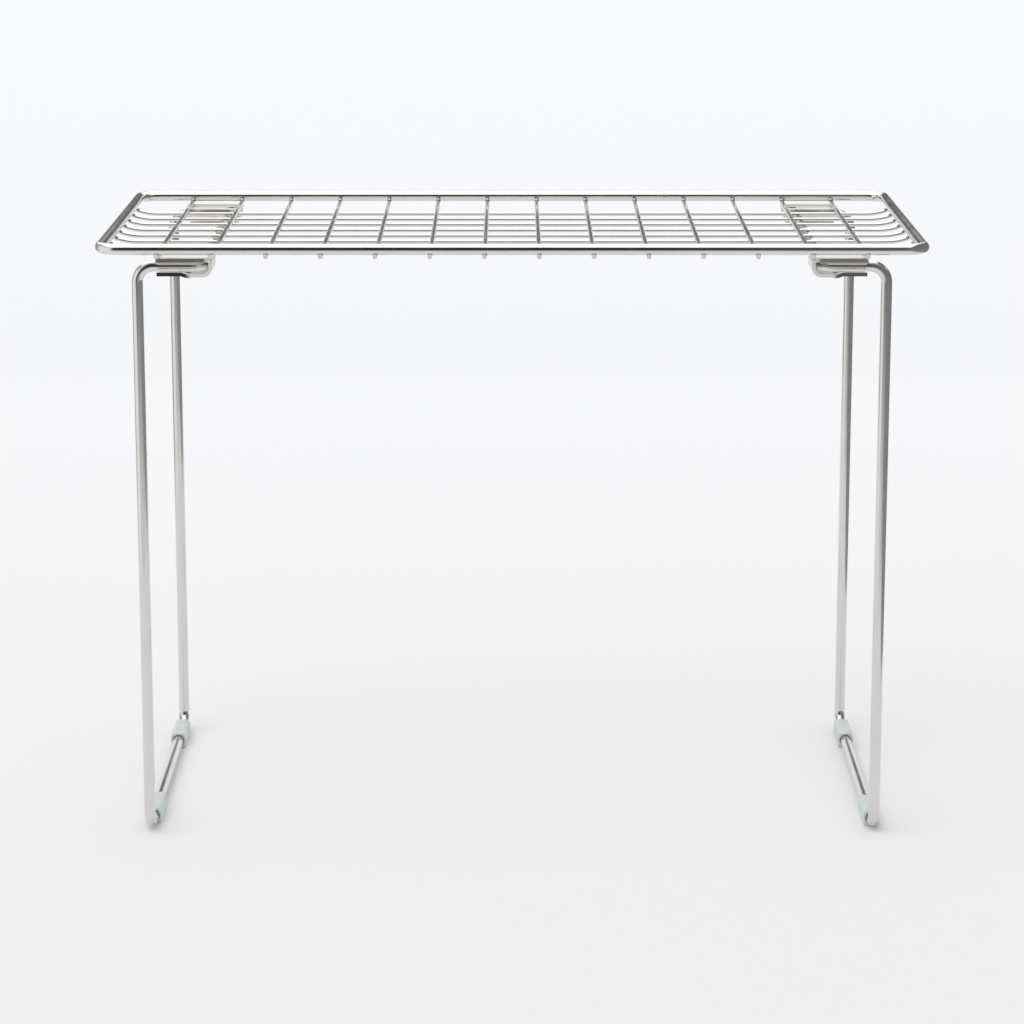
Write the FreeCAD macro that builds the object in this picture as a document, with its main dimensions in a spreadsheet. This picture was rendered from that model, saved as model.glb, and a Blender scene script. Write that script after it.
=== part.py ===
"""Free-standing wire rack with two fold-under legs.

Frame: +X to the right along the shelf, +Y to the back, +Z up. The origin is on the floor, in the
middle of the rack's footprint. Millimetres.

The shelf is a bent rim of heavy wire. Cross wires run front to back under it, and long wires run
left to right under those, turning up at both ends to meet the side of the rim. Four bent clips hang
under the outermost cross wires and hold the two legs. Each leg is one closed loop of heavy wire: a
cross bar that turns in the clips, two short arms that bear up against the clips' top flanges, two
long bars and a foot bar with two silicone sleeves.
"""
import FreeCAD, Part

import math
import os
import re

import Sketcher

Vector = FreeCAD.Vector
Rotation = FreeCAD.Rotation

# Driving dimensions, in millimetres, and the counts of what repeats.
SIZES = {
    "total_height": 326.0,
    "shelf_length": 440.0,
    "shelf_depth": 210.0,
    "heavy_wire": 6.0,
    "rim_bend": 10.0,
    "cross_wire": 2.6,
    "cross_count": 14,
    "cross_pitch": 28.7,
    "cross_length": 209.0,
    "cross_end_round": 0.5,
    "cross_weld_sink": 0.8,
    "long_wire": 2.1,
    "long_count": 7,
    "long_pitch": 21.2,
    "long_weld_sink": 0.75,
    "long_end_reach": 215.2,
    "long_end_run": 12.0,
    "long_end_rise": 2.1,
    "clip_thickness": 1.9,
    "clip_depth": 22.5,
    "clip_front": 102.5,
    "clip_outer_end": 187.0,
    "clip_flange": 28.65,
    "clip_mid_height": 8.15,
    "clip_lip_rise": 0.6,
    "clip_lip_setback": 0.4,
    "clip_top_bend": 1.95,
    "clip_bottom_bend": 4.25,
    "bead_centre": 16.6,
    "bead_drop": 0.55,
    "bead_bend": 2.4,
    "bead_slope_in": 3.9,
    "bead_slope_out": 3.0,
    "slot_outer": 99.4,
    "slot_inner": 88.0,
    "slot_overrun": 1.0,
    "slot_web_relief": 0.3,
    "clip_hole": 5.2,
    "clip_hole_from_end": 24.3,
    "clip_hole_from_middle": 88.0,
    "hinge_offset": 162.6,
    "arm_gap": 0.05,
    "leg_offset": 197.5,
    "leg_half_depth": 95.6,
    "leg_bend": 8.7,
    "foot_bar_height": 4.5,
    "sleeve_width": 8.8,
    "sleeve_height": 9.2,
    "sleeve_length": 28.0,
    "sleeve_bore": 6.04,
    "sleeve_shoulder": 2.4,
    "sleeve_sole_round": 1.2,
    "sleeve_end_round": 0.5,
    "sleeve_mouth": 0.9,
    "sleeve_front_left": -66.0,
    "sleeve_front_right": -71.0,
    "sleeve_rear_left": 72.0,
    "sleeve_rear_right": 72.5,
}

# Derived dimensions, each a formula over the ones above.
FORMULAS = {
    "rim_height": "total_height - heavy_wire / 2",
    "cross_height": "rim_height - heavy_wire / 2 - cross_wire / 2 + cross_weld_sink",
    "long_height": "cross_height - cross_wire / 2 - long_wire / 2 + long_weld_sink",
    "clip_height": "cross_height - cross_wire / 2 - clip_thickness / 2",
    "arm_height": "clip_height - clip_thickness / 2 - arm_gap - heavy_wire / 2",
    "arm_reach": "leg_offset - hinge_offset",
    "leg_drop": "arm_height - foot_bar_height",
    "long_end_radius": "(long_end_run ^ 2 + long_end_rise ^ 2) / (2 * long_end_rise)",
}

doc = FreeCAD.newDocument("wire_rack")
sheet = doc.addObject("Spreadsheet::Sheet", "Sizes")
for row, (alias, value) in enumerate(list(SIZES.items()) + list(FORMULAS.items()), start=1):
    cell = "B" + str(row)
    sheet.set("A" + str(row), alias)
    sheet.set(cell, str(value) if alias in SIZES else "=" + value)
    sheet.setAlias(cell, alias)
doc.recompute()

ABOUT_X = Rotation(Vector(1, 0, 0), 90)
ABOUT_DIAGONAL = Rotation(Vector(1, 1, 1), 120)
HALF_TURN = Rotation(Vector(0, 0, 1), 180)
ALONG = {
    "+X": Rotation(Vector(0, 1, 0), 90),
    "-X": Rotation(Vector(0, 1, 0), -90),
    "+Y": Rotation(Vector(1, 0, 0), -90),
    "-Z": Rotation(Vector(1, 0, 0), 180),
}
nodes = []


def size(alias):
    """The sheet's value for an alias."""
    return float(sheet.get(alias))


def formula(text):
    """Points every alias in a formula at the sheet."""
    return re.sub("[a-z]+_[a-z_]+", lambda word: "Sizes." + word.group(), text)


def bind(item, formulas):
    """Ties properties of an object to formulas over the sheet."""
    for name, text in formulas.items():
        item.setExpression(name, formula(text))


def place(item, rotation, x="0", y="0", z="0"):
    """Turns an object and ties its position to the sheet."""
    item.Placement = FreeCAD.Placement(Vector(), rotation)
    bind(item, {"Placement.Base.x": x, "Placement.Base.y": y, "Placement.Base.z": z})


def keep(item, label):
    """Names a finished sub-part."""
    item.Label = label
    nodes.append(item)
    return item


def straight(name, diameter, length, direction, x="0", y="0", z="0"):
    """A straight run of wire from a point, along a direction."""
    run = doc.addObject("Part::Cylinder", name)
    bind(run, {"Radius": diameter + " / 2", "Height": length})
    place(run, ALONG[direction], x, y, z)
    return run


def bend(name, diameter, radius, turn, rotation, x="0", y="0", z="0"):
    """A bend in a wire, turning about the point given."""
    elbow = doc.addObject("Part::Torus", name)
    bind(elbow, {"Radius1": radius, "Radius2": diameter + " / 2", "Angle3": turn})
    place(elbow, rotation, x, y, z)
    return elbow


def joined(name, pieces):
    """One wire made of its runs and bends."""
    wire = doc.addObject("Part::MultiFuse", name)
    wire.Shapes = pieces
    wire.Refine = True
    return wire


def quarter(start):
    """A turn about +Z, for a bend that begins at this angle."""
    return Rotation(Vector(0, 0, 1), start)


def make_rim():
    """The rim: a closed rounded rectangle of heavy wire."""
    half_x = "(shelf_length - heavy_wire) / 2"
    half_y = "(shelf_depth - heavy_wire) / 2"
    run_x = "shelf_length - heavy_wire - 2 * rim_bend"
    run_y = "shelf_depth - heavy_wire - 2 * rim_bend"
    start_x = "- (" + run_x + ") / 2"
    start_y = "- (" + run_y + ") / 2"
    pieces = []
    for side, sign in (("front", "- "), ("rear", "")):
        pieces.append(straight("rim_" + side, "heavy_wire", run_x, "+X", start_x, sign + half_y))
    for side, sign in (("left", "- "), ("right", "")):
        pieces.append(straight("rim_" + side, "heavy_wire", run_y, "+Y", sign + half_x, start_y))
    corners = (("", "", 0), ("- ", "", 90), ("- ", "- ", 180), ("", "- ", 270))
    for sign_x, sign_y, start in corners:
        corner_x = sign_x + "(" + run_x + ") / 2"
        corner_y = sign_y + "(" + run_y + ") / 2"
        pieces.append(bend("rim_corner", "heavy_wire", "rim_bend", "90", quarter(start),
                           corner_x, corner_y))
    rim = joined("rim", pieces)
    place(rim, Rotation(), z="rim_height")
    return keep(rim, "frame_rim")


def make_cross_wire(number):
    """One straight wire from front to back, its cut ends slightly rounded."""
    rod = straight("cross_rod", "cross_wire", "cross_length", "+Y", y="- cross_length / 2")
    wire = doc.addObject("Part::Fillet", "cross")
    wire.Base = rod
    rounding = size("cross_end_round")
    wire.Edges = [(1, rounding, rounding), (3, rounding, rounding)]
    steps = str(number - (size("cross_count") - 1) / 2)
    place(wire, Rotation(), steps + " * cross_pitch", "0", "cross_height")
    return keep(wire, "cross_wire_%02d" % (number + 1))


def make_long_wire(number):
    """One wire from left to right, both ends curving up to the rim."""
    turn = "2 * atan(long_end_rise / long_end_run)"
    knee = "long_end_reach - long_end_run"
    length = "2 * (" + knee + ")"
    middle = straight("long_middle", "long_wire", length, "+X", "- (" + knee + ")")
    rising = ABOUT_X * quarter(270)
    right = bend("long_right", "long_wire", "long_end_radius", turn, rising, knee, "0", "long_end_radius")
    left = bend("long_left", "long_wire", "long_end_radius", turn, HALF_TURN * rising,
                "- (" + knee + ")", "0", "long_end_radius")
    wire = joined("long", [middle, right, left])
    steps = str(number - (size("long_count") - 1) / 2)
    place(wire, Rotation(), "0", steps + " * long_pitch", "long_height")
    return keep(wire, "long_wire_%d" % (number + 1))


def origin_plane(body, role):
    """One of a body's own origin planes."""
    return next(feature for feature in body.Origin.OriginFeatures if feature.Role == role)


def new_sketch(body, name, role, depth=0.0):
    """A sketch on one of a body's own origin planes, or parallel to it."""
    sketch = body.newObject("Sketcher::SketchObject", name)
    sketch.AttachmentSupport = [(origin_plane(body, role), "")]
    sketch.MapMode = "FlatFace"
    sketch.AttachmentOffset = FreeCAD.Placement(Vector(0, 0, depth), Rotation())
    return sketch


def limit(sketch, name, constraint, text):
    """Adds a sketch dimension and ties it to the sheet."""
    index = sketch.addConstraint(constraint)
    sketch.renameConstraint(index, name)
    sketch.setExpression("Constraints." + name, formula(text))


def draw_rectangle(sketch, low, high, formulas):
    """A rectangle whose four sides lie at the sketch distances given by formulas."""
    corners = [Vector(low[0], low[1], 0), Vector(high[0], low[1], 0),
               Vector(high[0], high[1], 0), Vector(low[0], high[1], 0)]
    for index in range(4):
        sketch.addGeometry(Part.LineSegment(corners[index], corners[(index + 1) % 4]))
    for index in range(4):
        sketch.addConstraint(Sketcher.Constraint("Coincident", index, 2, (index + 1) % 4, 1))
    for index, direction in enumerate(("Horizontal", "Vertical", "Horizontal", "Vertical")):
        sketch.addConstraint(Sketcher.Constraint(direction, index))
    sides = (("low_x", "DistanceX", 0, low[0]), ("low_y", "DistanceY", 0, low[1]),
             ("high_x", "DistanceX", 2, high[0]), ("high_y", "DistanceY", 2, high[1]))
    for name, kind, line, value in sides:
        limit(sketch, name, Sketcher.Constraint(kind, -1, 1, line, 1, value), formulas[name])


def draw_circle(sketch, x, y, diameter, formulas):
    """A circle at a point, tied to formulas for its place and diameter."""
    sketch.addGeometry(Part.Circle(Vector(x, y, 0), Vector(0, 0, 1), diameter / 2))
    limit(sketch, "place_x", Sketcher.Constraint("DistanceX", -1, 1, 0, 3, x), formulas[0])
    limit(sketch, "place_y", Sketcher.Constraint("DistanceY", -1, 1, 0, 3, y), formulas[1])
    limit(sketch, "across", Sketcher.Constraint("Diameter", 0, diameter), formulas[2])


def rounded_path(corners, radii):
    """Straight runs through the corners, with a tangent arc at each inner one."""
    edges = []
    start = corners[0]
    for before, corner, after, radius in zip(corners, corners[1:], corners[2:], radii):
        back = (before - corner).normalize()
        ahead = (after - corner).normalize()
        half = back.getAngle(ahead) / 2
        reach = radius / math.tan(half)
        middle = corner + (back + ahead).normalize() * (radius / math.sin(half) - radius)
        edges.append(Part.LineSegment(start, corner + back * reach))
        edges.append(Part.Arc(corner + back * reach, middle, corner + ahead * reach))
        start = corner + ahead * reach
    edges.append(Part.LineSegment(start, corners[-1]))
    return edges


def make_clip(end, side):
    """A clip bent from strip: top flange, web, lower flange with a pressed bead and a raised lip.

    The lower flange is slotted, a little way into the web, where the leg's arm swings down through
    it. The top flange has a round hole over the cross bar.
    """
    body = doc.addObject("PartDesign::Body", "clip")
    flange = size("clip_flange")
    level = -size("clip_mid_height")
    lip = level + size("clip_lip_rise")
    bead = size("bead_centre")
    drop = size("bead_drop")
    bead_bend = size("bead_bend")
    slope_in = size("bead_slope_in") * drop
    slope_out = size("bead_slope_out") * (drop + size("clip_lip_rise"))
    corners = [Vector(0, 0, 0), Vector(flange, 0, 0), Vector(flange, level, 0),
               Vector(bead + slope_in, level, 0), Vector(bead, level - drop, 0),
               Vector(bead - slope_out, lip, 0), Vector(size("clip_lip_setback"), lip, 0)]
    radii = [size("clip_top_bend"), size("clip_bottom_bend"), bead_bend, bead_bend, bead_bend]
    path = new_sketch(body, "clip_path", "XZ_Plane")
    for edge in rounded_path(corners, radii):
        path.addGeometry(edge)
    section = new_sketch(body, "clip_section", "YZ_Plane")
    half_depth = size("clip_depth") / 2
    half_strip = size("clip_thickness") / 2
    draw_rectangle(section, (-half_depth, -half_strip), (half_depth, half_strip),
                   {"low_x": "- clip_depth / 2", "low_y": "- clip_thickness / 2",
                    "high_x": "clip_depth / 2", "high_y": "clip_thickness / 2"})
    strip = body.newObject("PartDesign::AdditivePipe", "clip_strip")
    strip.Profile = section
    strip.Spine = path
    doc.recompute()
    whole = strip.Shape.Volume

    # The body's y points to the back for a left clip and to the front for a right one.
    toward = -1 if (end == "front") == (side == "left") else 1
    sign = "" if toward > 0 else "- "
    middle = "(clip_front - clip_depth / 2)"
    slot = new_sketch(body, "clip_slot_outline", "XY_Plane", -size("clip_mid_height") / 2)
    near = toward * (size("slot_inner") - size("clip_front") + half_depth)
    far = toward * (size("slot_outer") - size("clip_front") + half_depth)
    texts = {near: sign + "(slot_inner - " + middle + ")", far: sign + "(slot_outer - " + middle + ")"}
    low, high = sorted((near, far))
    web_side = flange - half_strip + size("slot_web_relief")
    draw_rectangle(slot, (-size("slot_overrun"), low), (web_side, high),
                   {"low_x": "- slot_overrun", "low_y": texts[low],
                    "high_x": "clip_flange - clip_thickness / 2 + slot_web_relief", "high_y": texts[high]})
    cut = body.newObject("PartDesign::Pocket", "clip_slot")
    cut.Profile = slot
    cut.Type = "ThroughAll"
    doc.recompute()
    slotted = cut.Shape.Volume

    hole = new_sketch(body, "clip_hole_outline", "XY_Plane", half_strip)
    hole_y = toward * (size("clip_hole_from_middle") - size("clip_front") + half_depth)
    draw_circle(hole, size("clip_hole_from_end"), hole_y, size("clip_hole"),
                ("clip_hole_from_end", sign + "(clip_hole_from_middle - " + middle + ")", "clip_hole"))
    drilled = body.newObject("PartDesign::Pocket", "clip_hole")
    drilled.Profile = hole
    drilled.Type = "Length"
    drilled.setExpression("Length", formula("clip_thickness"))
    doc.recompute()
    if not drilled.Shape.Volume < slotted < whole:
        raise RuntimeError("the slot or the hole misses the clip")

    body.Tip = drilled
    across = "- clip_outer_end" if side == "left" else "clip_outer_end"
    along = ("- " if end == "front" else "") + middle
    place(body, Rotation() if side == "left" else HALF_TURN, across, along, "clip_height")
    return keep(body, "bracket_%s_%s" % (end, side))


def make_leg(side):
    """A closed loop of heavy wire. Its own origin is the middle of the cross bar."""
    pieces = [
        straight("leg_cross_bar", "heavy_wire", "2 * (leg_half_depth - leg_bend)", "+Y",
                 y="- (leg_half_depth - leg_bend)"),
        straight("leg_foot_bar", "heavy_wire", "2 * (leg_half_depth - leg_bend)", "+Y",
                 "- arm_reach", "- (leg_half_depth - leg_bend)", "- leg_drop"),
    ]
    for sign, bar_start, foot_start in (("", 0, 270), ("- ", 270, 180)):
        row = sign + "leg_half_depth"
        inset = sign + "(leg_half_depth - leg_bend)"
        arm_end = "- (arm_reach - leg_bend)"
        bar_end = "- (leg_drop - leg_bend)"
        pieces += [
            bend("leg_bar_bend", "heavy_wire", "leg_bend", "90", quarter(bar_start), "- leg_bend", inset),
            straight("leg_arm", "heavy_wire", "arm_reach - 2 * leg_bend", "-X", "- leg_bend", row),
            bend("leg_shoulder", "heavy_wire", "leg_bend", "90", ABOUT_X * quarter(90),
                 arm_end, row, "- leg_bend"),
            straight("leg_bar", "heavy_wire", "leg_drop - 2 * leg_bend", "-Z",
                     "- arm_reach", row, "- leg_bend"),
            bend("leg_foot_bend", "heavy_wire", "leg_bend", "90", ABOUT_DIAGONAL * quarter(foot_start),
                 "- arm_reach", inset, bar_end),
        ]
    leg = joined("leg", pieces)
    if side == "left":
        place(leg, Rotation(), "- hinge_offset", "0", "arm_height")
    else:
        place(leg, HALF_TURN, "hinge_offset", "0", "arm_height")
    return keep(leg, "leg_" + side)


def long_edges(shape, above):
    """Names of the straight edges along Y, either above or below the foot bar's axis."""
    names = []
    for number, edge in enumerate(shape.Edges, start=1):
        first, last = edge.Vertexes[0].Point, edge.Vertexes[-1].Point
        if abs(first.y - last.y) > size("sleeve_length") / 2 and (edge.CenterOfMass.z > 0) == above:
            names.append("Edge%d" % number)
    return names


def end_edges(shape, curved_only):
    """Names of the edges in the two end faces: the bore's circles, or the outline."""
    names = []
    for number, edge in enumerate(shape.Edges, start=1):
        at_end = abs(abs(edge.CenterOfMass.y) - size("sleeve_length") / 2) < 0.01
        is_bore = len(edge.Vertexes) == 1
        if at_end and is_bore == curved_only:
            names.append("Edge%d" % number)
    return names


def make_sleeve(end, side):
    """A silicone sleeve on the foot bar: flat top and sole, round shoulders, flared bore."""
    body = doc.addObject("PartDesign::Body", "sleeve")
    outline = new_sketch(body, "sleeve_outline", "XZ_Plane")
    half_width = size("sleeve_width") / 2
    sole = -size("foot_bar_height")
    draw_rectangle(outline, (-half_width, sole), (half_width, sole + size("sleeve_height")),
                   {"low_x": "- sleeve_width / 2", "low_y": "- foot_bar_height",
                    "high_x": "sleeve_width / 2", "high_y": "sleeve_height - foot_bar_height"})
    block = body.newObject("PartDesign::Pad", "sleeve_block")
    block.Profile = outline
    block.Midplane = True
    block.setExpression("Length", formula("sleeve_length"))
    doc.recompute()
    last = block
    for above, alias in ((True, "sleeve_shoulder"), (False, "sleeve_sole_round")):
        rounding = body.newObject("PartDesign::Fillet", alias)
        rounding.Base = (last, long_edges(last.Shape, above))
        rounding.setExpression("Radius", formula(alias))
        doc.recompute()
        last = rounding
    bore = new_sketch(body, "sleeve_bore_outline", "XZ_Plane")
    draw_circle(bore, 0.0, 0.0, size("sleeve_bore"), ("0", "0", "sleeve_bore"))
    through = body.newObject("PartDesign::Pocket", "sleeve_bore")
    through.Profile = bore
    through.Type = "ThroughAll"
    through.Midplane = True
    doc.recompute()
    if not through.Shape.Volume < last.Shape.Volume:
        raise RuntimeError("the bore misses the sleeve")
    mouth = body.newObject("PartDesign::Chamfer", "sleeve_mouth")
    mouth.Base = (through, end_edges(through.Shape, True))
    mouth.setExpression("Size", formula("sleeve_mouth"))
    doc.recompute()
    softened = body.newObject("PartDesign::Fillet", "sleeve_ends")
    softened.Base = (mouth, end_edges(mouth.Shape, False))
    softened.setExpression("Radius", formula("sleeve_end_round"))
    body.Tip = softened
    across = "- leg_offset" if side == "left" else "leg_offset"
    place(body, Rotation(), across, "sleeve_%s_%s" % (end, side), "foot_bar_height")
    return keep(body, "foot_sleeve_%s_%s" % (end, side))


make_rim()
for index in range(int(size("cross_count"))):
    make_cross_wire(index)
for index in range(int(size("long_count"))):
    make_long_wire(index)
for end_name in ("front", "rear"):
    for side_name in ("left", "right"):
        make_clip(end_name, side_name)
for side_name in ("left", "right"):
    make_leg(side_name)
for end_name in ("front", "rear"):
    for side_name in ("left", "right"):
        make_sleeve(end_name, side_name)
doc.recompute()

for item in doc.Objects:
    if "Invalid" in item.State or "Error" in item.State:
        raise RuntimeError(item.Name + " failed to recompute")
for node in nodes:
    if node.Shape.isNull() or not node.Shape.isValid() or len(node.Shape.Solids) != 1:
        raise RuntimeError(node.Label + " is not one valid solid")

os.makedirs("parts", exist_ok=True)
for node in nodes:
    node.Shape.exportStep("parts/" + node.Label + ".step")
    print(node.Label, round(node.Shape.Volume, 1))
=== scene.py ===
"""Folding wire rack: camera, studio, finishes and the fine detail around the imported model."""
import math
import random

import bmesh
import bpy
from mathutils import Matrix, Vector


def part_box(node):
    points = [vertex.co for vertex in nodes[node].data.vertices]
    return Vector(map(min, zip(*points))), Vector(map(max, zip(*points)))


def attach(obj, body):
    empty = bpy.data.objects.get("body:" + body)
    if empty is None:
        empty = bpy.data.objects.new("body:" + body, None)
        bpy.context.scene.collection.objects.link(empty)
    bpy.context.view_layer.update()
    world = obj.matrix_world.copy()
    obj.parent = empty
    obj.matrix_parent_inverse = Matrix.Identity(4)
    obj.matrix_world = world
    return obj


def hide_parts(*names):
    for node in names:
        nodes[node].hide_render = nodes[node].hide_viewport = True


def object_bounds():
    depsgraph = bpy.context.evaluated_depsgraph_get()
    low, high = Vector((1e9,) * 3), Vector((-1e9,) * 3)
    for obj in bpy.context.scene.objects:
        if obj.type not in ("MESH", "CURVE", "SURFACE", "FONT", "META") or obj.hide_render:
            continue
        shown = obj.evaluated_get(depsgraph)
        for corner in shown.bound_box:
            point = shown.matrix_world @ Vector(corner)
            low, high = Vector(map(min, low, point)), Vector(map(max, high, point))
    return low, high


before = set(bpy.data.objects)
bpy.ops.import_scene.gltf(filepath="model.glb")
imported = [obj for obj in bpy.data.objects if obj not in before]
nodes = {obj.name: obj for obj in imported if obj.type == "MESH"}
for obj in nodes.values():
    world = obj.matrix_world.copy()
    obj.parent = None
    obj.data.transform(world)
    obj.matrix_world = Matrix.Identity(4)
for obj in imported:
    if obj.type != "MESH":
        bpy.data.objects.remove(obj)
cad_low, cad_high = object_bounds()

MM = 0.001
random.seed(7)


# ---------------------------------------------------------------- shader helpers

def new_material(name):
    """An empty node material with a Principled shader. Returns it, its tree and the shader."""
    material = bpy.data.materials.new(name)
    material.use_nodes = True
    tree = material.node_tree
    tree.nodes.clear()
    output = tree.nodes.new("ShaderNodeOutputMaterial")
    shader = tree.nodes.new("ShaderNodeBsdfPrincipled")
    tree.links.new(shader.outputs["BSDF"], output.inputs["Surface"])
    return material, tree, shader


def noise(tree, scale, detail=4.0, roughness=0.55, stretch=(1, 1, 1)):
    """A noise pattern in the object's own space, in metres, stretched along the axes."""
    place = tree.nodes.new("ShaderNodeTexCoord")
    mapping = tree.nodes.new("ShaderNodeMapping")
    mapping.inputs["Scale"].default_value = stretch
    pattern = tree.nodes.new("ShaderNodeTexNoise")
    pattern.inputs["Scale"].default_value = scale
    pattern.inputs["Detail"].default_value = detail
    pattern.inputs["Roughness"].default_value = roughness
    tree.links.new(place.outputs["Object"], mapping.inputs["Vector"])
    tree.links.new(mapping.outputs["Vector"], pattern.inputs["Vector"])
    return pattern.outputs["Fac"]


def ramp(tree, value, stops):
    """A colour ramp over (position, colour) stops."""
    node = tree.nodes.new("ShaderNodeValToRGB")
    elements = node.color_ramp.elements
    while len(elements) < len(stops):
        elements.new(0.5)
    for element, (position, colour) in zip(elements, stops):
        element.position = position
        element.color = (*colour, 1.0)
    tree.links.new(value, node.inputs["Fac"])
    return node.outputs["Color"]


def span(tree, value, low, high, new_low, new_high, smooth=False):
    """A value mapped from one range to another."""
    node = tree.nodes.new("ShaderNodeMapRange")
    if smooth:
        node.interpolation_type = "SMOOTHSTEP"
    limits = {"From Min": low, "From Max": high, "To Min": new_low, "To Max": new_high}
    for socket, number in limits.items():
        node.inputs[socket].default_value = number
    tree.links.new(value, node.inputs["Value"])
    return node.outputs["Result"]


def compute(tree, operation, first, second):
    """A maths node over two values, each a socket or a number."""
    node = tree.nodes.new("ShaderNodeMath")
    node.operation = operation
    for index, value in enumerate((first, second)):
        if isinstance(value, (int, float)):
            node.inputs[index].default_value = value
        else:
            tree.links.new(value, node.inputs[index])
    return node.outputs["Value"]


def blend(tree, first, second, share):
    """The first value where share is 0 and the second where it is 1."""
    kept = compute(tree, "MULTIPLY", first, compute(tree, "SUBTRACT", 1.0, share))
    return compute(tree, "ADD", kept, compute(tree, "MULTIPLY", second, share))


def coordinates(tree, output):
    """The X, Y and Z of a texture coordinate."""
    place = tree.nodes.new("ShaderNodeTexCoord")
    split = tree.nodes.new("ShaderNodeSeparateXYZ")
    tree.links.new(place.outputs[output], split.inputs["Vector"])
    return split.outputs["X"], split.outputs["Y"], split.outputs["Z"]


def unsigned(tree, value):
    """A value without its sign."""
    return compute(tree, "ABSOLUTE", value, 0.0)


def bump(tree, shader, layers):
    """Stacks (height, strength, distance) layers into the shader's normal."""
    normal = None
    for height, strength, distance in layers:
        node = tree.nodes.new("ShaderNodeBump")
        node.inputs["Strength"].default_value = strength
        node.inputs["Distance"].default_value = distance
        tree.links.new(height, node.inputs["Height"])
        if normal is not None:
            tree.links.new(normal, node.inputs["Normal"])
        normal = node.outputs["Normal"]
    tree.links.new(normal, shader.inputs["Normal"])


def grey(level, warm=0.0):
    """A near-neutral colour, a touch warm or cool."""
    return (level * (1.01 + warm), level, level * (0.975 - warm))


# ---------------------------------------------------------------- finishes

POLISHED_EDGE = 0.09
# roughness of the sheared edges that are painted pale as a painted reflection
PAINTED_REFLECTION_EDGE = 0.51
MATTE_METAL = 0.45
SHEARED_METAL = 0.3


def steel_base(name, level, rough_low, rough_high, draw, orange_peel):
    """Electropolished stainless: bright, faintly uneven, with fine lines along the draw direction.

    Returns the material, its tree, the shader and the roughness, which is left to be linked.
    """
    material, tree, shader = new_material(name)
    shader.inputs["Metallic"].default_value = 1.0
    patches = noise(tree, 55.0, 5.0)
    tone = ramp(tree, patches, [(0.3, grey(level * 0.95, 0.012)), (0.55, grey(level)),
                                (0.8, grey(level * 1.03, -0.006))])
    tree.links.new(tone, shader.inputs["Base Color"])
    lines = noise(tree, 900.0, 3.0, 0.6, draw)
    rough = compute(tree, "ADD", span(tree, patches, 0.3, 0.75, rough_low, rough_high),
                    span(tree, lines, 0.35, 0.7, 0.0, 0.035))
    pores = noise(tree, 1500.0, 2.0)
    bump(tree, shader, [(lines, 0.10, 0.00003), (pores, orange_peel, 0.00002)])
    return material, tree, shader, rough


def wire_steel(name, level, rough_low, rough_high, draw=(1, 1, 1)):
    """Polished wire."""
    material, tree, shader, rough = steel_base(name, level, rough_low, rough_high, draw, 0.1)
    tree.links.new(rough, shader.inputs["Roughness"])
    return material


def sheared_wire_steel(name, level, rough_low, rough_high, draw, cut_end):
    """Polished wire with duller, paler ends past cut_end, a distance along Y from the middle."""
    material, tree, shader, rough = steel_base(name, level, rough_low, rough_high, draw, 0.1)
    along = unsigned(tree, coordinates(tree, "Object")[1])
    end = span(tree, along, cut_end, cut_end + 0.2 * MM, 0.0, 1.0)
    rough = compute(tree, "ADD", rough, compute(tree, "MULTIPLY", end, 0.4))
    tree.links.new(rough, shader.inputs["Roughness"])
    tree.links.new(span(tree, end, 0.0, 1.0, 1.0, SHEARED_METAL), shader.inputs["Metallic"])
    return material


def pressed_strip_steel(name, level, rough_low, rough_high, draw, bead_x, web_x, flange_z):
    """Satin strip: sheared edges polished outside the bead, made rough and less metallic inside it as a
    painted pale reflection, a matte top.

    bead_x and web_x are the distances of the bead and the web from the middle, and flange_z the
    height of the top flange's lower face.
    """
    material, tree, shader, rough = steel_base(name, level, rough_low, rough_high, draw, 0.16)
    _, facing_y, facing_z = coordinates(tree, "Normal")
    edge = span(tree, unsigned(tree, facing_y), 0.55, 0.8, 0.0, 1.0)
    top = span(tree, facing_z, 0.8, 0.95, 0.0, 1.0)
    across, _, height = coordinates(tree, "Object")
    across = unsigned(tree, across)
    # painted reflection: the edges inside the bead below the top flange, and round the web, are made rough
    # and less metallic so they show pale, standing in for the light-grey reflection these edges give
    inner = span(tree, across, bead_x - 3.0 * MM, bead_x - 0.5 * MM, 1.0, 0.0, True)
    under = span(tree, height, flange_z - 1.1 * MM, flange_z - 0.3 * MM, 1.0, 0.0)
    web = span(tree, across, web_x + 2.6 * MM, web_x + 5.1 * MM, 1.0, 0.0, True)
    painted_reflection = compute(tree, "MAXIMUM", compute(tree, "MULTIPLY", inner, under), web)
    edge_rough = span(tree, painted_reflection, 0.0, 1.0, POLISHED_EDGE, PAINTED_REFLECTION_EDGE)
    tree.links.new(blend(tree, rough, edge_rough, edge), shader.inputs["Roughness"])
    matte = compute(tree, "MAXIMUM", compute(tree, "MULTIPLY", painted_reflection, edge), top)
    tree.links.new(span(tree, matte, 0.0, 1.0, 1.0, MATTE_METAL), shader.inputs["Metallic"])
    return material


def welded_steel(name, level):
    """Weld metal: duller, slightly straw-tinted, with a lumpy skin."""
    material, tree, shader = new_material(name)
    shader.inputs["Metallic"].default_value = 1.0
    tint = noise(tree, 420.0, 4.0)
    tone = ramp(tree, tint, [(0.3, grey(level * 0.76, 0.03)), (0.55, grey(level, 0.01)),
                             (0.8, grey(level * 1.12))])
    tree.links.new(tone, shader.inputs["Base Color"])
    tree.links.new(span(tree, tint, 0.3, 0.7, 0.34, 0.2), shader.inputs["Roughness"])
    bump(tree, shader, [(noise(tree, 1300.0, 4.0), 0.35, 0.00006)])
    return material


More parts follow.
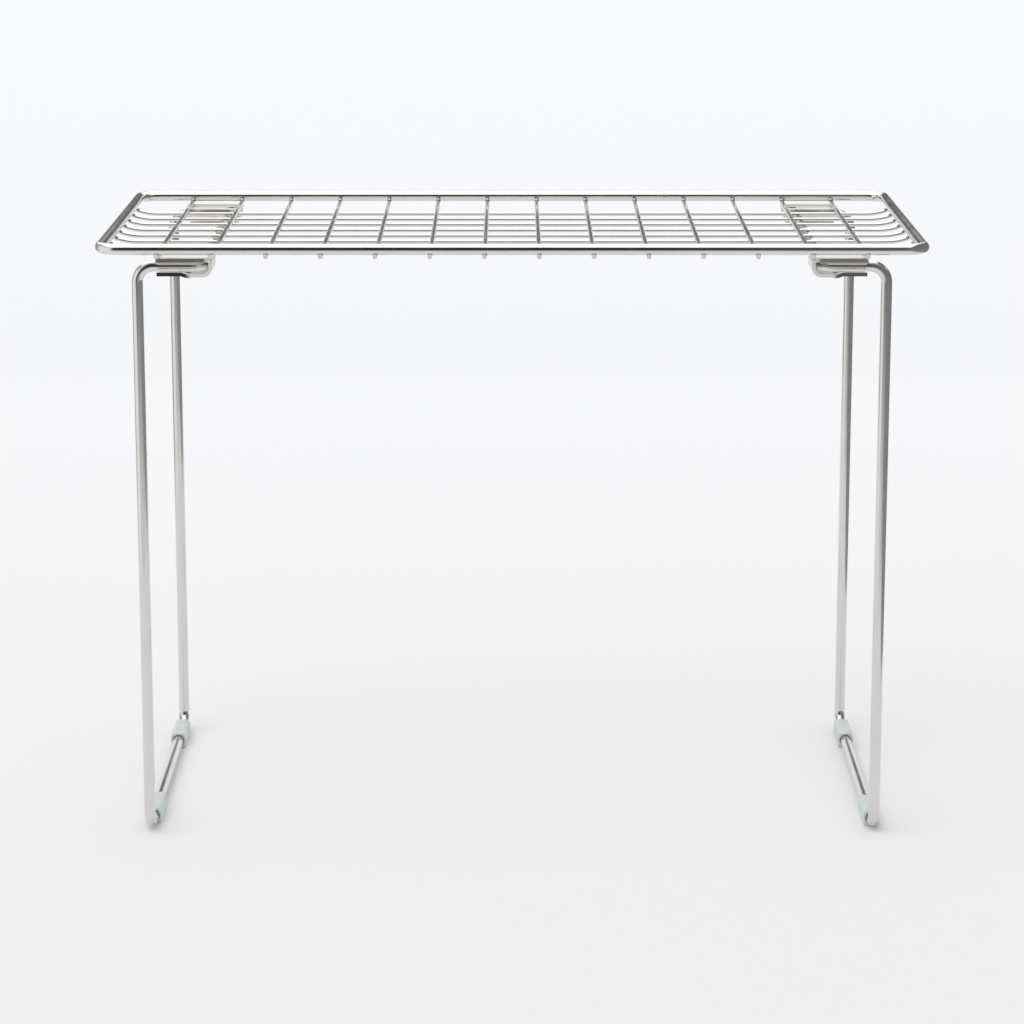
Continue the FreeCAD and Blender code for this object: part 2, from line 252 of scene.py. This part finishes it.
def silicone(name):
    """Matte pale grey-green silicone with a soft skin and a little dust on it."""
    material, tree, shader = new_material(name)
    cloud = noise(tree, 130.0, 5.0)
    tone = ramp(tree, cloud, [(0.25, (0.515, 0.570, 0.555)), (0.55, (0.570, 0.626, 0.611)),
                              (0.85, (0.615, 0.668, 0.652))])
    tree.links.new(tone, shader.inputs["Base Color"])
    grain = noise(tree, 2600.0, 3.0, 0.7)
    tree.links.new(span(tree, grain, 0.3, 0.7, 0.5, 0.66), shader.inputs["Roughness"])
    shader.inputs["Specular IOR Level"].default_value = 0.42
    shader.inputs["Subsurface Weight"].default_value = 0.12
    shader.inputs["Subsurface Radius"].default_value = (0.002, 0.002, 0.0018)
    shader.inputs["Subsurface Scale"].default_value = 1.0
    shader.inputs["Sheen Weight"].default_value = 0.15
    shader.inputs["Sheen Roughness"].default_value = 0.5
    bump(tree, shader, [(grain, 0.18, 0.00005), (cloud, 0.1, 0.0001)])
    return material


# ---------------------------------------------------------------- mesh helpers

def add_object(name, mesh, material, body):
    """Links a finished mesh as a piece of the object."""
    piece = bpy.data.objects.new(name, mesh)
    bpy.context.scene.collection.objects.link(piece)
    mesh.materials.clear()
    mesh.materials.append(material)
    for face in mesh.polygons:
        face.use_smooth = True
    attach(piece, body)
    return piece


def mesh_from(builder, name):
    """A mesh from a bmesh."""
    bmesh.ops.recalc_face_normals(builder, faces=builder.faces)
    mesh = bpy.data.meshes.new(name)
    builder.to_mesh(mesh)
    builder.free()
    return mesh


def centre_of(node):
    """The middle of a CAD node's box."""
    low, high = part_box(node)
    return (low + high) / 2


def nugget(builder, place, size, turn=None):
    """A small lump of weld metal: a squashed, slightly uneven ball."""
    made = bmesh.ops.create_icosphere(builder, subdivisions=2, radius=1.0)
    wobble = [random.uniform(0.9, 1.08) for _ in range(3)]
    shape = Matrix.Diagonal((size[0] * wobble[0], size[1] * wobble[1], size[2] * wobble[2], 1.0))
    spin = Matrix.Rotation(random.uniform(-0.12, 0.12), 4, "Z")
    lean = turn or Matrix.Identity(4)
    matrix = Matrix.Translation(place) @ spin @ lean @ shape
    bmesh.ops.transform(builder, matrix=matrix, verts=made["verts"])


def ring(builder, place, axis, radius, half_width, height):
    """A low weld bead all round a wire."""
    axis = Vector(axis)
    across = axis.orthogonal().normalized()
    other = axis.cross(across).normalized()
    around, profile = 40, 7
    buried = 0.04 * MM
    rows = []
    for step in range(around):
        angle = 2 * math.pi * step / around
        outward = across * math.cos(angle) + other * math.sin(angle)
        lump = height * (1 + 0.25 * math.sin(3 * angle + 0.7) + 0.1 * math.sin(11 * angle))
        row = []
        for index in range(profile):
            along = -1 + 2 * index / (profile - 1)
            rise = lump * math.cos(along * math.pi / 2) - buried
            row.append(builder.verts.new(place + outward * (radius + rise) + axis * along * half_width))
        rows.append(row)
    for step in range(around):
        here, there = rows[step], rows[(step + 1) % around]
        for index in range(profile - 1):
            builder.faces.new((here[index], here[index + 1], there[index + 1], there[index]))
        builder.faces.new((here[0], there[0], there[-1], here[-1]))


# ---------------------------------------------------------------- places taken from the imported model

STRIP = 1.9 * MM
BEAD_FROM_OUTER_END = 15.5 * MM
CUT_END_DEPTH = 0.3 * MM

cross_nodes = sorted(name for name in nodes if name.startswith("cross_wire"))
long_nodes = sorted(name for name in nodes if name.startswith("long_wire"))
bracket_nodes = sorted(name for name in nodes if name.startswith("bracket"))
sleeve_nodes = sorted(name for name in nodes if name.startswith("foot_sleeve"))

rim_low, rim_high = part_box("frame_rim")
heavy_radius = (rim_high.z - rim_low.z) / 2
rim_axis = (rim_low + rim_high) / 2
side_x = rim_high.x - heavy_radius
end_y = rim_high.y - heavy_radius
cross_low, cross_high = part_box(cross_nodes[0])
cross_radius = (cross_high.x - cross_low.x) / 2
cross_z = (cross_low.z + cross_high.z) / 2
long_low, long_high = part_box(long_nodes[0])
long_radius = (long_high.y - long_low.y) / 2
long_z = long_low.z + long_radius
clip_low, clip_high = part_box("bracket_front_right")


# ---------------------------------------------------------------- materials, and the wires as packed

heavy_steel = wire_steel("heavy_wire_steel", 0.72, 0.10, 0.16)
cross_steel = sheared_wire_steel("cross_wire_steel", 0.72, 0.11, 0.18, draw=(1, 0.06, 1),
                                 cut_end=cross_high.y - CUT_END_DEPTH)
long_steel = wire_steel("long_wire_steel", 0.72, 0.11, 0.18, draw=(0.06, 1, 1))
strip_steel = pressed_strip_steel("bracket_strip_steel", 0.80, 0.34, 0.42, draw=(0.15, 1, 1),
                                  bead_x=clip_high.x - BEAD_FROM_OUTER_END, web_x=clip_low.x,
                                  flange_z=clip_high.z - STRIP)
weld_steel = welded_steel("weld_steel", 0.66)
# painted shade: the weld lumps where the long wires end get a much darker weld metal, standing in for the
# shade at the wire tips
tip_weld_painted_shade = welded_steel("weld_tip_painted_shade", 0.30)
sleeve_silicone = silicone("sleeve_silicone")

for names, finish in ((["frame_rim", "leg_left", "leg_right"], heavy_steel),
                      (cross_nodes, cross_steel), (long_nodes, long_steel)):
    for name in names:
        nodes[name].material_slots[0].material = finish


# ---------------------------------------------------------------- welds

GRID_WELD = (1.15 * MM, 1.05 * MM, 0.5 * MM)
RIM_WELD = (1.75 * MM, 2.0 * MM, 0.75 * MM)
RIM_WELD_SINK = 0.15 * MM
SIDE_WELD = (1.2 * MM, 1.35 * MM, 0.9 * MM)
SIDE_WELD_FROM_END = 1.2 * MM
SIDE_WELD_LEAN = math.radians(35)
CLIP_WELD = (1.5 * MM, 2.3 * MM, 0.55 * MM)
CLIP_WELD_SHARES = (0.22, 0.72)
CLIP_REACH = 2 * MM
BUTT_WELD_HALF_WIDTH = 0.9 * MM
BUTT_WELD_HEIGHT = 0.10 * MM
RIM_BUTT_SHARE = 0.41
LEG_BUTT_Y = 12.0 * MM


def make_grid_welds():
    """The resistance-weld lumps where cross wires and long wires meet."""
    builder = bmesh.new()
    contact = (cross_z - cross_radius + long_z + long_radius) / 2
    for cross in cross_nodes:
        for long in long_nodes:
            place = Vector((centre_of(cross).x, centre_of(long).y, contact))
            nugget(builder, place, GRID_WELD)
    add_object("welds_grid", mesh_from(builder, "welds_grid"), weld_steel, "shelf")


def make_rim_welds():
    """The welds under the rim's long sides, and where the long wires end on its short sides."""
    builder = bmesh.new()
    contact = rim_axis.z - heavy_radius + RIM_WELD_SINK
    for cross in cross_nodes:
        for end in (-1, 1):
            place = Vector((centre_of(cross).x, end * end_y, contact))
            nugget(builder, place, RIM_WELD)
    add_object("welds_rim", mesh_from(builder, "welds_rim"), weld_steel, "shelf")
    builder = bmesh.new()
    for long in long_nodes:
        low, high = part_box(long)
        for side in (-1, 1):
            across = side * (high.x - SIDE_WELD_FROM_END)
            place = Vector((across, centre_of(long).y, high.z - 0.75 * long_radius))
            lean = Matrix.Rotation(-side * SIDE_WELD_LEAN, 4, "Y")
            nugget(builder, place, SIDE_WELD, lean)
    # the weld lumps are real; their dark weld metal is painted shade at the long wires' ends
    add_object("welds_side", mesh_from(builder, "welds_side"), tip_weld_painted_shade, "shelf")


def make_bracket_welds():
    """Two short weld runs where each cross wire passes over a bracket's top flange."""
    builder = bmesh.new()
    for bracket in bracket_nodes:
        low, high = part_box(bracket)
        over = [name for name in cross_nodes if low.x - CLIP_REACH < centre_of(name).x < high.x + CLIP_REACH]
        for name in over:
            for share in CLIP_WELD_SHARES:
                place = Vector((centre_of(name).x, low.y + share * (high.y - low.y), high.z))
                nugget(builder, place, CLIP_WELD)
    add_object("welds_bracket", mesh_from(builder, "welds_bracket"), weld_steel, "shelf")


def make_butt_weld(name, place, axis, body):
    """The closing weld of a bent loop: a dressed bead round the wire."""
    builder = bmesh.new()
    ring(builder, Vector(place), axis, heavy_radius, BUTT_WELD_HALF_WIDTH, BUTT_WELD_HEIGHT)
    add_object(name, mesh_from(builder, name), weld_steel, body)


def make_butt_welds():
    """One closing weld on the rim's rear side and one on each leg's cross bar."""
    make_butt_weld("butt_weld_rim", (side_x * RIM_BUTT_SHARE, end_y, rim_axis.z), (1, 0, 0), "shelf")
    for side in ("left", "right"):
        low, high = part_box("leg_" + side)
        bar_x = high.x - heavy_radius if side == "left" else low.x + heavy_radius
        place = (bar_x, LEG_BUTT_Y, high.z - heavy_radius)
        make_butt_weld("butt_weld_leg_" + side, place, (0, 1, 0), "leg_" + side)


make_grid_welds()
make_rim_welds()
make_bracket_welds()
make_butt_welds()


# ---------------------------------------------------------------- brackets

EDGE_ROUND = 0.32 * MM
EDGE_LEAN = 0.26 * MM


def outermost(low, high):
    """Whichever of two coordinates lies further from the middle."""
    return low if abs(low) > abs(high) else high


def make_bracket(node):
    """The bent strip again, with its sheared edges leaning a little and tumbled round."""
    builder = bmesh.new()
    builder.from_mesh(nodes[node].data)
    bmesh.ops.remove_doubles(builder, verts=builder.verts, dist=0.002 * MM)
    bmesh.ops.dissolve_limit(builder, angle_limit=math.radians(0.8), verts=builder.verts, edges=builder.edges)
    low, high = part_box(node)
    outer_x = outermost(low.x, high.x)
    outer_y = outermost(low.y, high.y)
    bead_x = outer_x - math.copysign(BEAD_FROM_OUTER_END, outer_x)
    middle_z = (low.z + high.z) / 2
    for point, normal in (((bead_x, 0, 0), (1, 0, 0)), ((0, 0, middle_z), (0, 0, 1))):
        bmesh.ops.bisect_plane(builder, geom=[*builder.verts, *builder.edges, *builder.faces],
                               plane_co=point, plane_no=normal, dist=0.001 * MM)
    for vert in builder.verts:
        on_outer_edge = abs(vert.co.y - outer_y) < 0.01 * MM
        beyond_bead = abs(vert.co.x) > abs(bead_x) + 0.1 * MM
        lower_flange_top = low.z + 0.7 * STRIP < vert.co.z < middle_z - 0.1 * MM
        if on_outer_edge and beyond_bead and lower_flange_top:
            vert.co.y -= math.copysign(EDGE_LEAN, outer_y)
    sharp = [edge for edge in builder.edges
             if len(edge.link_faces) == 2 and edge.calc_face_angle(0) > math.radians(35)]
    bmesh.ops.bevel(builder, geom=sharp, offset=EDGE_ROUND, offset_type="OFFSET", segments=3, profile=0.5,
                    affect="EDGES", clamp_overlap=True)
    name = node.replace("bracket", "bent_clip")
    piece = add_object(name, mesh_from(builder, name), strip_steel, "shelf")
    weighted = piece.modifiers.new("weighted_normals", "WEIGHTED_NORMAL")
    weighted.keep_sharp = False
    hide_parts(node)


for bracket_node in bracket_nodes:
    make_bracket(bracket_node)


# ---------------------------------------------------------------- sleeves

SLEEVE_WIRE_HEIGHT = 4.5 * MM
SLEEVE_SHOULDER = 2.5 * MM
SLEEVE_SOLE_ROUND = 1.3 * MM
SLEEVE_WAIST = 0.14 * MM
SLEEVE_GAP = 0.02 * MM
SLEEVE_POINTS = 72
SOFT_EDGE = 0.8 * MM
MOUTH_DEPTH = 0.95 * MM
MOUTH_FLARE = 0.75 * MM


def section(width, height, shoulder, sole_round, count):
    """Points round a sleeve's section, evenly spaced, starting at the middle of the sole.

    The corners are (x, z, radius, start angle), anticlockwise from the right of the sole.
    """
    half = width / 2
    corners = [(half - sole_round, sole_round, sole_round, -90),
               (half - shoulder, height - shoulder, shoulder, 0),
               (-half + shoulder, height - shoulder, shoulder, 90),
               (-half + sole_round, sole_round, sole_round, 180)]
    outline = [Vector((0, 0))]
    for x, z, radius, start in corners:
        for step in range(13):
            angle = math.radians(start + 90 * step / 12)
            outline.append(Vector((x + radius * math.cos(angle), z + radius * math.sin(angle))))
    outline.append(Vector((0, 0)))
    lengths = [0.0]
    for first, second in zip(outline, outline[1:]):
        lengths.append(lengths[-1] + (second - first).length)
    points = []
    leg = 0
    for index in range(count):
        target = lengths[-1] * index / count
        while lengths[leg + 1] < target:
            leg += 1
        share = (target - lengths[leg]) / (lengths[leg + 1] - lengths[leg])
        points.append(outline[leg].lerp(outline[leg + 1], share))
    return points


def make_sleeve(node, body):
    """A moulded sleeve: soft ends, slightly waisted sides, a flared mouth round the wire."""
    low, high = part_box(node)
    width, length, height = high - low
    middle = (low + high) / 2
    wire_z = low.z + SLEEVE_WIRE_HEIGHT
    outline = section(width, height, SLEEVE_SHOULDER, SLEEVE_SOLE_ROUND, SLEEVE_POINTS)
    bore = heavy_radius + SLEEVE_GAP
    builder = bmesh.new()

    def shell_row(along, inset, waist):
        """One row of the skin at a place along the sleeve, drawn in all round and at its waist."""
        row = []
        for point in outline:
            reach = Vector((point.x, point.y + low.z - middle.z))
            scale = max(0.0, 1 - inset / max(reach.length, 1e-6))
            pull = waist * (1 - abs(point.y / height * 2 - 1)) * (1 if point.x > 0 else -1)
            place = (middle.x + reach.x * scale - pull, along, middle.z + reach.y * scale)
            row.append(builder.verts.new(place))
        return row

    def bore_row(along, radius):
        """One row of the bore at a place along the sleeve."""
        row = []
        for point in outline:
            outward = radius * Vector((point.x, point.y + low.z - wire_z)).normalized()
            row.append(builder.verts.new((middle.x + outward.x, along, wire_z + outward.y)))
        return row

    mouth = []
    for step in range(5):
        angle = math.pi / 2 * step / 4
        depth = SLEEVE_GAP + MOUTH_DEPTH * (1 - math.sin(angle))
        mouth.append((depth, bore + MOUTH_FLARE * (1 - math.cos(angle))))
    edge = []
    for step in range(7):
        angle = math.pi / 2 * step / 6
        edge.append((SOFT_EDGE * (1 - math.cos(angle)), SOFT_EDGE * (1 - math.sin(angle))))

    rows = [bore_row(low.y + depth, radius) for depth, radius in mouth]
    rows += [shell_row(low.y + depth, inset, 0.0) for depth, inset in edge]
    for step in range(1, 12):
        share = step / 12
        along = low.y + SOFT_EDGE + (length - 2 * SOFT_EDGE) * share
        rows.append(shell_row(along, 0.0, SLEEVE_WAIST * math.sin(math.pi * share)))
    rows += [shell_row(high.y - depth, inset, 0.0) for depth, inset in reversed(edge)]
    rows += [bore_row(high.y - depth, radius) for depth, radius in reversed(mouth)]
    for here, there in zip(rows, rows[1:] + rows[:1]):
        for index in range(SLEEVE_POINTS):
            after = (index + 1) % SLEEVE_POINTS
            builder.faces.new((here[index], here[after], there[after], there[index]))
    name = node.replace("foot_sleeve", "silicone_foot")
    piece = add_object(name, mesh_from(builder, name), sleeve_silicone, body)
    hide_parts(node)


for sleeve_node in sleeve_nodes:
    make_sleeve(sleeve_node, "leg_left" if sleeve_node.endswith("left") else "leg_right")


# ---------------------------------------------------------------- studio

ROOM_LOW = Vector((-0.80, -0.66, -0.01))
ROOM_HIGH = Vector((0.52, 1.20, 1.30))
DARK_FRONT = 0.035
DIM_LEFT = 0.42
BRIGHT_BACK = 1.3
CEILING = 1.55


def stage_object(name, mesh, material):
    """A stage piece, not part of the object."""
    thing = bpy.data.objects.new(name, mesh)
    bpy.context.scene.collection.objects.link(thing)
    mesh.materials.append(material)
    for face in mesh.polygons:
        face.use_smooth = True
    return thing


def make_floor():
    """A wide pale floor with a painted light falloff: darker near the front, a little lighter towards the
    back.
    """
    material, tree, shader = new_material("floor_paper_painted_falloff")
    # painted light falloff: the floor's colour grows lighter with distance towards the back
    depth = span(tree, coordinates(tree, "Object")[1], -0.5, 7.5, 0.0, 1.0)
    tone = ramp(tree, depth, [(0.0, (0.832, 0.815, 0.822)), (0.13, (0.862, 0.862, 0.864)),
                              (0.33, (0.890, 0.898, 0.915)), (1.0, (0.915, 0.925, 0.945))])
    tree.links.new(tone, shader.inputs["Base Color"])
    shader.inputs["Roughness"].default_value = 0.8
    shader.inputs["Specular IOR Level"].default_value = 0.1
    builder = bmesh.new()
    bmesh.ops.create_circle(builder, cap_ends=True, radius=14.0, segments=96)
    floor = stage_object("floor", mesh_from(builder, "floor"), material)
    floor.location.z = cad_low.z


def make_reflection_room():
    """What the polished wire mirrors: a bright ceiling and left side, dim walls elsewhere.

    Only mirror reflections see it, so it neither lights the floor nor shows behind the object.
    """
    material = bpy.data.materials.new("studio_walls")
    material.use_nodes = True
    tree = material.node_tree
    tree.nodes.clear()
    output = tree.nodes.new("ShaderNodeOutputMaterial")
    glow = tree.nodes.new("ShaderNodeEmission")
    tree.links.new(glow.outputs["Emission"], output.inputs["Surface"])
    across, depth, height = coordinates(tree, "Object")

    def rise(value, low, high):
        """A share that eases from 0 to 1 over a stretch of the room."""
        return span(tree, value, low, high, 0.0, 1.0, True)

    front_low = span(tree, height, 0.04, 0.14, 0.72, 0.45, True)
    front = blend(tree, front_low, DARK_FRONT, rise(height, 0.13, 0.28))
    right = span(tree, height, 0.0, 0.5, 0.29, 0.20, True)
    left_front = span(tree, height, 0.55, 0.85, 0.98, 0.50, True)
    left = blend(tree, left_front, DIM_LEFT, rise(depth, -0.10, 0.30))
    back_low = span(tree, height, 0.34, 0.38, 0.95, 0.12, True)
    back = blend(tree, back_low, BRIGHT_BACK, rise(height, 0.58, 0.66))
    wall = blend(tree, left, front, rise(across, -0.72, -0.45))
    wall = blend(tree, wall, right, rise(across, 0.05, 0.50))
    wall = blend(tree, wall, back, rise(depth, 0.55, 0.95))
    tree.links.new(blend(tree, wall, CEILING, rise(height, 0.88, 1.0)), glow.inputs["Strength"])
    builder = bmesh.new()
    bmesh.ops.create_cube(builder, size=1.0)
    stretch = Matrix.Diagonal((*(ROOM_HIGH - ROOM_LOW), 1.0))
    matrix = Matrix.Translation((ROOM_LOW + ROOM_HIGH) / 2) @ stretch
    bmesh.ops.transform(builder, matrix=matrix, verts=builder.verts)
    room = stage_object("reflection_room", mesh_from(builder, "reflection_room"), material)
    for ray in ("camera", "diffuse", "shadow", "transmission", "volume_scatter"):
        setattr(room, "visible_" + ray, False)


def make_world():
    """An even pale surround."""
    world = bpy.data.worlds.new("studio")
    world.use_nodes = True
    background = world.node_tree.nodes["Background"]
    background.inputs["Color"].default_value = (0.985, 0.99, 1.0, 1.0)
    background.inputs["Strength"].default_value = 0.84
    bpy.context.scene.world = world


def make_sun():
    """A very soft key light from the upper left, in front."""
    data = bpy.data.lights.new("key", "SUN")
    data.energy = 0.80
    data.angle = math.radians(50)
    sun = bpy.data.objects.new("key", data)
    bpy.context.scene.collection.objects.link(sun)
    sun.rotation_euler = Vector((0.45, 0.30, -1.0)).to_track_quat("-Z", "Y").to_euler()
    sun.visible_glossy = False


def make_camera():
    """The photograph's standpoint: well in front, looking down on the shelf at a shallow angle."""
    stand_off = 1.700
    above_rim = 0.263
    pitch = math.radians(11.95)
    data = bpy.data.cameras.new("camera")
    data.sensor_width = 36.0
    data.lens = 115.2
    data.shift_y = -0.08
    data.clip_end = 60.0
    camera = bpy.data.objects.new("camera", data)
    bpy.context.scene.collection.objects.link(camera)
    camera.location = (0.0, -end_y - stand_off, rim_axis.z + above_rim)
    camera.rotation_euler = (math.pi / 2 - pitch, 0.0, 0.0)
    bpy.context.scene.camera = camera


make_floor()
make_reflection_room()
make_world()
make_sun()
make_camera()
bpy.context.scene.view_settings.view_transform = "Standard"
